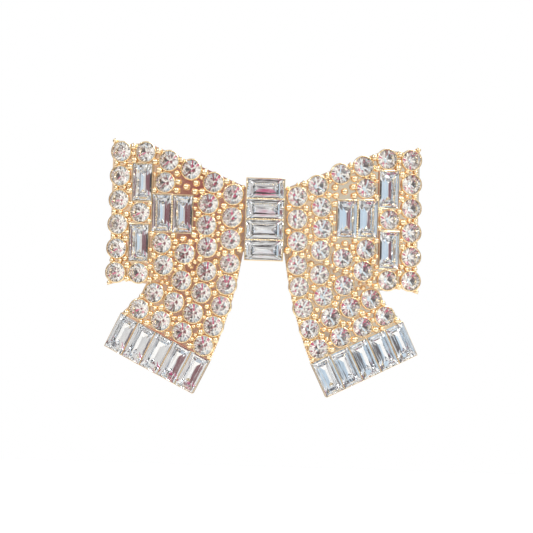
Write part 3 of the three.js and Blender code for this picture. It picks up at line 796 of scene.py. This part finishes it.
# %% Knot channel
def knot_channel():
    low, high = -KNOT_COUNT * KNOT_PITCH / 2 - 0.1, KNOT_COUNT * KNOT_PITCH / 2 + 0.1
    bm = bmesh.new()
    bmesh.ops.create_cube(bm, size=1.0)
    front, back = FRONT_Y - KNOT_RISE + 0.1, FRONT_Y + 2.2
    bmesh.ops.scale(bm, vec=(2 * 4.02, back - front, high - low), verts=bm.verts)
    bmesh.ops.translate(bm, vec=(0, (front + back) / 2, 0), verts=bm.verts)
    tray = min(bm.faces, key=lambda f: f.calc_center_median().y)
    bmesh.ops.inset_region(bm, faces=[tray], thickness=0.16)
    bmesh.ops.inset_region(bm, faces=[tray], thickness=0.001)
    bmesh.ops.translate(bm, vec=(0, back - front - 0.3, 0), verts=tray.verts)
    outer = [e for e in bm.edges if all(abs(v.co.x) > 4.0 or abs(v.co.z) > high - 0.01 for v in e.verts)]
    bmesh.ops.bevel(bm, geom=outer, offset=0.07, offset_type="OFFSET", segments=2, profile=0.5,
                    affect="EDGES", material=-1)
    return bm


knot = finish_piece("knot_channel", knot_channel(), [GOLD], smooth=40)

# %% [markdown]
# ## Milgrain
# Where two long stones meet, the wall between them is too thin to fold, so it is rolled into a row
# of fine beads.
# The same beading runs down the inner edge of each tail.

# %% Rows of beads
def bead_row(start, end, size, pitch):
    """Bead frames along a line between two points of a seat's own plane."""
    count = max(1, round((end - start).length / pitch))
    return [Matrix.Translation(start.lerp(end, i / count)) @ Matrix.Scale(size, 4) for i in range(count + 1)]


BEAD = 0.22
bead_seats = []
for i in range(1, KNOT_COUNT):
    seat = seats[f"knot_baguette_{i}"][1]
    side = (seats[f"knot_baguette_{i + 1}"][1].translation - seat.translation) / 2
    middle = seat.inverted().to_3x3() @ side
    row = bead_row(Vector((middle.x, -3.7, 0.74)), Vector((middle.x, 3.7, 0.86)), BEAD, 0.56)
    bead_seats += [seat @ bead for bead in row]
for half in ("right", "left"):
    seat = seats[f"{half}_loop_baguette_3"][1]
    middle = seat.inverted() @ seats[f"{half}_loop_baguette_4"][1].translation / 2
    row = bead_row(Vector((middle.x, -3.7, 0.7)), Vector((middle.x, 3.7, 0.8)), BEAD, 0.56)
    bead_seats += [seat @ bead for bead in row]
edge_beads = 34
for i in range(edge_beads):
    point = along_curve(TAIL_INNER_EDGE, (i + 0.5) / edge_beads)
    for side in (1, -1):
        place = seat_on(TAIL_RADIUS, side * (point.x + 0.22), point.y)
        bead_seats.append(place @ Matrix.Translation((0, 0, 0.05)) @ Matrix.Scale(0.26, 4))
gather("milgrain", half_ball(), bead_seats, [GOLD], smooth=80)

# %% [markdown]
# ## Gilt steel of the barrette
# The clasp behind the bow is stamped from cold rolled strip, barrel plated with a thin, slightly redder gold.
# Rolling leaves fine lines along the strip, a tenth of a millimetre apart; they are drawn at twice
# that to show.
# The springy pieces are tempered and plated thinner, so they are a little greyer.

# %% Brushed strip
def rolled_strip(name, colour, roughness):
    """Plated steel with rolling lines along X."""
    material, tree, output = new_material(name)
    place = add_node(tree, "ShaderNodeTexCoord").outputs["Object"]
    line_mm = (9.0, 0.2, 0.2)
    stretched = add_node(tree, "ShaderNodeMapping",
                         {"Vector": place, "Scale": [1 / (mm * MM) for mm in line_mm]})
    lines = add_node(tree, "ShaderNodeTexNoise",
                     {"Vector": stretched.outputs[0], "Scale": 1.0, "Detail": 2.0})
    rough = add_node(tree, "ShaderNodeMapRange",
                     {"Value": lines.outputs["Fac"], "To Min": roughness * 0.8, "To Max": roughness * 1.3})
    stains = add_node(tree, "ShaderNodeTexNoise", {"Vector": place, "Scale": 1 / (7 * MM), "Detail": 3.0})
    darker = tuple(c * 0.86 for c in linear(colour)[:3]) + (1.0,)
    tone = add_node(tree, "ShaderNodeMix", {0: stains.outputs["Fac"], 6: linear(colour), 7: darker},
                    data_type="RGBA")
    bump = add_node(tree, "ShaderNodeBump",
                    {"Height": lines.outputs["Fac"], "Strength": 1.0, "Distance": 0.006 * MM})
    shader = add_node(tree, "ShaderNodeBsdfPrincipled",
                      {"Base Color": tone.outputs[2], "Metallic": 1.0, "Roughness": rough.outputs["Result"],
                       "Normal": bump.outputs["Normal"]})
    tree.links.new(shader.outputs["BSDF"], output.inputs["Surface"])
    return material


GILT_STEEL = rolled_strip("gilt_rolled_steel", "#F3D49A", 0.24)
SPRING_STEEL = rolled_strip("gilt_spring_steel", "#E6C99A", 0.2)

# %% [markdown]
# ## Stamped strips
# Every flat piece of the barrette is blanked from strip, its edges tumbled round, and bent over a former.
# Here the blank is one face, extruded to its thickness and bevelled; it is then sliced and moved
# onto its arc.

# %% Blank and bend
PLATE_THICKNESS = 0.8
PLATE_RADIUS = 110.8
LEAF_THICKNESS = 0.35
LEAF_RADIUS = 400.35
ARM_THICKNESS = 0.8
ARM_RADIUS = 260.0
EDGE_ROUND = 0.12


def rounded_outline(x_low, x_high, half_width, corner, steps=6):
    """Outline of a bar along X with round corners."""
    points = []
    for sx, sz, start in ((1, 1, 0), (-1, 1, 90), (-1, -1, 180), (1, -1, 270)):
        for i in range(steps + 1):
            angle = math.radians(start + 90 * i / steps)
            centre_x = x_high - corner if sx > 0 else x_low + corner
            points.append((centre_x + corner * math.cos(angle),
                           sz * (half_width - corner) + corner * math.sin(angle)))
    return points


def blank(outline, thickness, edge=EDGE_ROUND):
    """A flat plate from an outline of x and z; its front face is at y = 0."""
    bm = bmesh.new()
    face = bm.faces.new([bm.verts.new((x, 0, z)) for x, z in outline])
    made = bmesh.ops.extrude_face_region(bm, geom=[face])
    back = [v for v in made["geom"] if isinstance(v, bmesh.types.BMVert)]
    bmesh.ops.translate(bm, vec=(0, thickness, 0), verts=back)
    bmesh.ops.recalc_face_normals(bm, faces=bm.faces)
    rims = [e for e in bm.edges if abs(e.verts[0].co.y - e.verts[1].co.y) < 1e-6]
    bmesh.ops.bevel(bm, geom=rims, offset=min(edge, thickness * 0.4), offset_type="OFFSET", segments=2,
                    profile=0.5,
                    affect="EDGES", material=-1)
    return bm


def bend(bm, radius, front_y, step=1.5):
    """Slices a blank across every step and moves it back onto an arc whose front is at front_y."""
    low = min(v.co.x for v in bm.verts)
    high = max(v.co.x for v in bm.verts)
    for i in range(math.ceil(low / step), math.floor(high / step) + 1):
        everything = bm.verts[:] + bm.edges[:] + bm.faces[:]
        bmesh.ops.bisect_plane(bm, geom=everything, dist=1e-4, plane_co=(i * step, 0, 0), plane_no=(1, 0, 0))
    for vertex in bm.verts:
        vertex.co.y += front_y + fall(radius, vertex.co.x)
    return bm


def turned_solid(section, steps):
    """Spins an open section of (radius, height) whose ends lie on the axis."""
    bm = bmesh.new()
    corners = [bm.verts.new((radius, 0, height)) for radius, height in section]
    for a, b in zip(corners, corners[1:]):
        bm.edges.new((a, b))
    bmesh.ops.spin(bm, geom=bm.verts[:] + bm.edges[:], cent=(0, 0, 0), axis=(0, 0, 1), angle=math.tau,
                   steps=steps,
                   use_merge=True)
    bmesh.ops.remove_doubles(bm, verts=bm.verts, dist=1e-4)
    bmesh.ops.recalc_face_normals(bm, faces=bm.faces)
    return bm


def block(low, high, edge):
    """A box between two corners with its edges rounded."""
    bm = bmesh.new()
    bmesh.ops.create_cube(bm, size=1.0)
    size = Vector(high) - Vector(low)
    bmesh.ops.scale(bm, vec=size, verts=bm.verts)
    bmesh.ops.translate(bm, vec=(Vector(high) + Vector(low)) / 2, verts=bm.verts)
    bmesh.ops.bevel(bm, geom=bm.edges[:], offset=edge, offset_type="OFFSET", segments=2, profile=0.5,
                    affect="EDGES", material=-1)
    return bm


# %% Where the barrette lies
plate_low, plate_high = (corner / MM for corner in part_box("base_plate"))
PLATE_FRONT = plate_low.y
PLATE_HALF = plate_high.z
leaf_low, leaf_high = (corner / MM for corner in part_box("tension_spring"))
arm_low, arm_high = (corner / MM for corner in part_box("clasp_arm"))
pin_low, pin_high = (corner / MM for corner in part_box("hinge_pin"))
PIN = (pin_low + pin_high) / 2
BARREL_RADIUS = 1.32
PIN_BORE = 0.72
print("hinge pin at", [round(v, 2) for v in PIN], "mm")

# %% [markdown]
# ### Pads and base plate
# Two pads behind the loops carry the base plate, and a blank pad behind the knot is left for a tag.
# The base plate is a plain bar with round corners and two ears folded up at its hinge end.

# %% Pads
PAD_START = 1.85  # from the ground's face back past the foiled backs of the stones


def mount_pad(side):
    middle = side * MOUNT_X
    front = ground_y(BEND_RADIUS, MOUNT_X) + PAD_START
    back = PLATE_FRONT + fall(PLATE_RADIUS, MOUNT_X) - front
    pad = blank(rounded_outline(-3.0, 3.0, 3.0, 0.5), back, 0.1)
    slope = Matrix.Rotation(math.asin(middle / PLATE_RADIUS), 4, "Z")
    bmesh.ops.transform(pad, matrix=Matrix.Translation((middle, front, 0)) @ slope, verts=pad.verts)
    return pad


mount_low, mount_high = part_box("mount_rivet_right")
MOUNT_X = (mount_low.x + mount_high.x) / 2 / MM
pads = bmesh.new()
for side in (1, -1):
    add_copies(pads, mount_pad(side), [Matrix()])
tag = blank(rounded_outline(-3.5, 3.5, 1.6, 1.0), 0.7, 0.1)
add_copies(pads, tag, [Matrix.Translation((0, FRONT_Y + 1.9, -6.7))])
# The pads take the ground's plate, with its painted shade.
finish_piece("casting_pads", pads, [GOLD_GROUND_PAINTED_SHADE], smooth=40)


# %% Base plate
def hinge_ear(z_low):
    """An ear with a round end about the pin."""
    thickness = 0.6
    reach = BARREL_RADIUS + 0.15
    root = PLATE_FRONT + PLATE_THICKNESS * 0.5 + fall(PLATE_RADIUS, PIN.x)
    outline = [(PIN.x - reach, root), (PIN.x + reach + 0.4, root)]
    for i in range(13):
        angle = math.pi * i / 12
        outline.append((PIN.x + reach * math.cos(angle), PIN.y + reach * math.sin(angle)))
    ear = blank(outline, thickness, 0.1)
    # The blank's outline is of x and z; it is laid down so that its second axis becomes Y.
    bmesh.ops.transform(ear, matrix=Matrix(((1, 0, 0, 0), (0, 0, 1, 0), (0, 1, 0, z_low), (0, 0, 0, 1))),
                        verts=ear.verts)
    bmesh.ops.reverse_faces(ear, faces=ear.faces)
    return ear


plate_bm = bend(blank(rounded_outline(plate_low.x, plate_high.x, PLATE_HALF, 2.0), PLATE_THICKNESS),
                PLATE_RADIUS,
                PLATE_FRONT)
for z_low in (PLATE_HALF - 0.8, -PLATE_HALF + 0.2):
    add_copies(plate_bm, hinge_ear(z_low), [Matrix()])
plate = finish_piece("barrette_base", plate_bm, [GILT_STEEL], smooth=35)
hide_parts("base_plate")

# %% Tension spring
leaf_bm = bend(blank(rounded_outline(leaf_low.x, leaf_high.x, leaf_high.z, 1.5), LEAF_THICKNESS),
               LEAF_RADIUS, leaf_low.y)
leaf = finish_piece("spring_leaf", leaf_bm, [SPRING_STEEL], smooth=35)
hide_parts("tension_spring")

# %% [markdown]
# ### Clasp arm
# The arm swings on the pin. One end is rolled into a barrel; the other widens to a frame with a window,
# which drops over the latch ears. The window is cut from the blank before it is bent.

# %% Clasp arm
WINDOW_LENGTH = 3.6
WINDOW_HALF = 2.9
WINDOW_RAIL = 1.0
ARM_HALF = 2.5
frame_end = arm_high.x
window_high = frame_end - WINDOW_RAIL
window_low = window_high - WINDOW_LENGTH
frame_start = window_low - WINDOW_RAIL
frame_half = WINDOW_HALF + WINDOW_RAIL
half_outline = [(PIN.x, ARM_HALF), (frame_start - 3, ARM_HALF), (frame_start - 1.5, ARM_HALF + 0.4),
                (frame_start, frame_half), (frame_end - 0.8, frame_half), (frame_end - 0.2, frame_half - 0.2),
                (frame_end, frame_half - 0.8)]
arm_blank = blank(half_outline[::-1] + [(x, -z) for x, z in half_outline], ARM_THICKNESS)
window = plain_object("window", block((window_low, -2, -WINDOW_HALF), (window_high, 3, WINDOW_HALF), 0.3))
bpy.context.scene.collection.objects.link(window)
arm_bm = bend(drilled(arm_blank, window), ARM_RADIUS, arm_low.y)
bpy.data.objects.remove(window)
barrel_half = PLATE_HALF - 0.8 - 0.3
barrel = ring_from([(PIN_BORE, -barrel_half), (BARREL_RADIUS - 0.1, -barrel_half),
                    (BARREL_RADIUS, -barrel_half + 0.1),
                    (BARREL_RADIUS, barrel_half - 0.1), (BARREL_RADIUS - 0.1, barrel_half),
                    (PIN_BORE, barrel_half)], 32)
add_copies(arm_bm, barrel, [Matrix.Translation(PIN)])
arm = finish_piece("barrette_arm", arm_bm, [GILT_STEEL], body="arm", smooth=35)
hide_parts("clasp_arm")


# %% [markdown]
# ### Pin and rivets
# The pin and the rivets are headed wire: a straight shank and a low dome, turned about their own axes.

# %% Pin
def dome(radius, foot, height, steps=5):
    """Section of a domed head, from its foot to its crown on the axis."""
    points = [(radius, foot)]
    for i in range(steps + 1):
        angle = math.pi / 2 * i / steps
        points.append((radius * math.cos(angle), foot + 0.08 + (height - 0.08) * math.sin(angle)))
    return points[:-1] + [(0.0, foot + height)]


pin_foot = pin_high.z - 0.4
pin_head = dome(0.9, pin_foot, 0.4)
pin_section = [(r, -h) for r, h in pin_head[::-1]] + [(0.6, -pin_foot), (0.6, pin_foot)] + pin_head
pin_bm = turned_solid(pin_section, 24)
bmesh.ops.translate(pin_bm, vec=(PIN.x, PIN.y, 0), verts=pin_bm.verts)
pin = finish_piece("pin", pin_bm, [GILT_STEEL], smooth=40)
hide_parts("hinge_pin")


# %% Rivets
def plate_seat(x):
    """A frame on the back of the base plate, its Z pointing back."""
    back = PLATE_FRONT + PLATE_THICKNESS + fall(PLATE_RADIUS, x)
    lean = Matrix.Rotation(math.asin(x / PLATE_RADIUS), 4, "Z")
    return Matrix.Translation((x, back, 0)) @ lean @ Matrix.Rotation(-math.pi / 2, 4, "X")


for side, name in ((1, "right"), (-1, "left")):
    rivet_bm = turned_solid([(0.0, -2.3), (0.8, -2.3), (0.8, 0.02), *dome(1.5, 0.02, 0.7)], 28)
    bmesh.ops.transform(rivet_bm, matrix=plate_seat(side * MOUNT_X), verts=rivet_bm.verts)
    rivet = finish_piece(f"rivet_{name}", rivet_bm, [GILT_STEEL], smooth=40)
    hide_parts(f"mount_rivet_{name}")

latch_low, latch_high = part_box("latch_rivet")
LATCH_X = (latch_low.x + latch_high.x) / 2 / MM
BRACKET_GAP = 0.3  # base plate to bracket
BRACKET_THICKNESS = 0.4
bracket_back = BRACKET_GAP + BRACKET_THICKNESS
front_head = [(r, -PLATE_THICKNESS - h) for r, h in dome(1.0, 0.02, 0.35)[::-1]]
latch_bm = turned_solid([*front_head, (0.6, -PLATE_THICKNESS), (0.6, bracket_back),
                         *dome(1.0, bracket_back, 0.4)], 24)
bmesh.ops.transform(latch_bm, matrix=plate_seat(LATCH_X), verts=latch_bm.verts)
latch_rivet = finish_piece("rivet_latch", latch_bm, [GILT_STEEL], smooth=40)
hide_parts("latch_rivet")

# %% [markdown]
# ### Latch
# A bracket of spring strip carries two ears. Each ear ends in a barb that holds the arm's window,
# and a finger pinches it inwards to let the arm go. The ear is one bent strip, so its section is extruded.

# %% Latch bracket and ears
bracket_low, bracket_high = (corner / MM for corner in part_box("latch_bracket"))
bracket_bm = blank(rounded_outline(bracket_low.x, bracket_high.x, bracket_high.z, 0.5), BRACKET_THICKNESS,
                   0.08)
bend(bracket_bm, PLATE_RADIUS, PLATE_FRONT + PLATE_THICKNESS + BRACKET_GAP)
bracket = finish_piece("latch_plate", bracket_bm, [SPRING_STEEL], smooth=35)
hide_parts("latch_bracket")

EAR_THICKNESS = 0.4
BARB_REACH = 0.6
for side, name in ((1, "upper"), (-1, "lower")):
    low, high = (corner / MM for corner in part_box(f"latch_ear_{name}"))
    inner = low.z if side > 0 else -high.z
    outer = inner + EAR_THICKNESS
    barb_y = high.y - 1.6
    section = [(inner, low.y), (outer, low.y), (outer, barb_y - 0.4),
               (outer + BARB_REACH - 0.1, barb_y - 0.06),
               (outer + BARB_REACH, barb_y), (outer + BARB_REACH - 0.12, barb_y + 0.1), (outer, high.y - 0.2),
               (outer - 0.15, high.y), (inner + 0.1, high.y), (inner, high.y - 0.15)]
    ear_bm = blank([(side * z, y) for z, y in section], high.x - low.x, 0.06)
    # The section's first axis becomes Z, its second stays Y, and the thickness runs along X.
    bmesh.ops.transform(ear_bm, matrix=Matrix(((0, 1, 0, low.x), (0, 0, 1, 0), (1, 0, 0, 0), (0, 0, 0, 1))),
                        verts=ear_bm.verts)
    bmesh.ops.recalc_face_normals(ear_bm, faces=ear_bm.faces)
    ear = finish_piece(f"ear_{name}", ear_bm, [SPRING_STEEL], body=f"{name}_ear", smooth=35)
    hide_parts(f"latch_ear_{name}")
print("barrette pieces made")

# %% [markdown]
# ## Light
# The room is one large pale window to the upper right and a dimmer, rosier room to the lower left.
# Mirrors show whatever they face, so this split is what parts the light half of each baguette from the dark.
# The floor and the view behind the clip are plain white.

# %% World
world = bpy.data.worlds.new("soft_studio")
bpy.context.scene.world = world
world.use_nodes = True
tree = world.node_tree
tree.nodes.clear()
direction = add_node(tree, "ShaderNodeTexCoord").outputs["Generated"]


def towards(way, near, far):
    """1 where the direction is within near degrees of a way, falling to 0 at far degrees."""
    dot = add_node(tree, "ShaderNodeVectorMath", {0: direction, 1: Vector(way).normalized()},
                   operation="DOT_PRODUCT")
    return add_node(tree, "ShaderNodeMapRange",
                    {"Value": dot.outputs["Value"], "From Min": math.cos(math.radians(far)),
                     "From Max": math.cos(math.radians(near))},
                    interpolation_type="SMOOTHSTEP").outputs["Result"]


def layered(under, over, share):
    return add_node(tree, "ShaderNodeMix", {0: share, 6: under, 7: over}, data_type="RGBA").outputs[2]


CARDS = [  # cards and dark things in the room: the way to each, its colour, and its edge in degrees
    ((-0.95, -1.0, -0.4), "#8E747C", 10, 20),
    ((0.05, -1.0, -0.8), "#786269", 12, 22),
    ((-1.0, -0.3, 0.45), "#8C888C", 10, 22),
    ((1.0, -0.45, -0.5), "#7E7A7C", 8, 18),
    ((0.8, -1.0, -0.42), "#8F8A92", 6, 14),
    ((0.25, -0.6, 1.0), "#9A9C9E", 5, 12),
    ((0.66, -1.0, 0.16), "#DCEAF3", 12, 22),
    ((0.38, -1.0, 0.06), "#D9E9F4", 8, 13),
    ((-0.27, -1.0, 0.04), "#8A585B", 4, 10),
    ((-0.18, -1.0, 0.25), "#D0507C", 7, 11),
    ((0.16, -1.0, 0.3), "#FFFFFF", 6, 10),
    ((0.26, -1.0, -0.16), "#5A5052", 4, 8),
    ((-0.1, -1.0, -0.28), "#6E5A60", 3, 7),
    ((0.0, -1.0, 0.0), "#4A4242", 4, 8),
]


room_light = layered(linear("#AFA49E"), linear("#FFFBF4"), towards((0.22, -0.62, 0.75), 46, 100))
for way, tone, near, far in CARDS:
    room_light = layered(room_light, linear(tone), towards(way, near, far))
behind_camera_ray = add_node(tree, "ShaderNodeLightPath").outputs["Is Camera Ray"]
shown = layered(room_light, (1.0, 1.0, 1.0, 1.0), behind_camera_ray)
background = add_node(tree, "ShaderNodeBackground", {"Color": shown, "Strength": 1.0})
tree.links.new(background.outputs[0], add_node(tree, "ShaderNodeOutputWorld").inputs["Surface"])


# %% Lamps
def soft_lamp(name, place, target, size, power, colour):
    lamp = bpy.data.lights.new(name, "AREA")
    lamp.shape = "RECTANGLE"
    lamp.size, lamp.size_y = size
    lamp.energy = power
    lamp.color = linear(colour)[:3]
    holder = bpy.data.objects.new(name, lamp)
    holder.location = place
    holder.rotation_euler = (Vector(target) - Vector(place)).to_track_quat("-Z", "Y").to_euler()
    holder.visible_camera = False
    bpy.context.scene.collection.objects.link(holder)


clip_middle = (CAD_BOX[0] + CAD_BOX[1]) / 2
soft_lamp("window", (0.30, -0.30, 0.35), clip_middle, (0.16, 0.16), 1.2, "#FFFDF6")
soft_lamp("far_window", (-0.32, -0.25, 0.30), clip_middle, (0.08, 0.14), 0.5, "#EAF4FF")
soft_lamp("back_window", (0.15, 0.40, 0.35), clip_middle, (0.25, 0.2), 2.0, "#FFF8EC")

# %% Floor
floor_bm = bmesh.new()
bmesh.ops.create_grid(floor_bm, x_segments=1, y_segments=1, size=0.25)
bmesh.ops.translate(floor_bm, vec=(0, 0, CAD_BOX[0].z - 0.05), verts=floor_bm.verts)
floor_mesh = bpy.data.meshes.new("floor")
floor_bm.to_mesh(floor_mesh)
floor_bm.free()
floor = bpy.data.objects.new("floor", floor_mesh)
bpy.context.scene.collection.objects.link(floor)
pale, tree, output = new_material("pale_paper")
grain = add_node(tree, "ShaderNodeTexNoise",
                 {"Vector": add_node(tree, "ShaderNodeTexCoord").outputs["Object"], "Scale": 400.0})
tone = add_node(tree, "ShaderNodeMix", {0: grain.outputs["Fac"], 6: linear("#F3F1EE"), 7: linear("#ECEAE7")},
                data_type="RGBA")
paper = add_node(tree, "ShaderNodeBsdfPrincipled", {"Base Color": tone.outputs[2], "Roughness": 0.9})
tree.links.new(paper.outputs[0], output.inputs["Surface"])
floor_mesh.materials.append(pale)

# %% Camera
ROLL = math.radians(1.73)  # the clip hangs a little turned
VIEW_CENTRE = Vector((0.67, -9.66)) * MM  # x and z of the middle of the view
VIEW_WIDTH = 109.8 * MM
camera_data = bpy.data.cameras.new("camera")
camera_data.lens = 100
camera_data.sensor_width = 36
camera_data.clip_start = 0.01
distance = VIEW_WIDTH * camera_data.lens / camera_data.sensor_width
camera = bpy.data.objects.new("camera", camera_data)
bpy.context.scene.collection.objects.link(camera)
camera.matrix_world = (Matrix.Translation((VIEW_CENTRE.x, FRONT_Y * MM - distance, VIEW_CENTRE.y))
                       @ Matrix.Rotation(-ROLL, 4, "Y") @ Matrix.Rotation(math.pi / 2, 4, "X"))
bpy.context.scene.camera = camera
bpy.context.scene.view_settings.view_transform = "Standard"
bpy.context.scene.cycles.glossy_bounces = 12  # light turns back many times inside a foiled stone
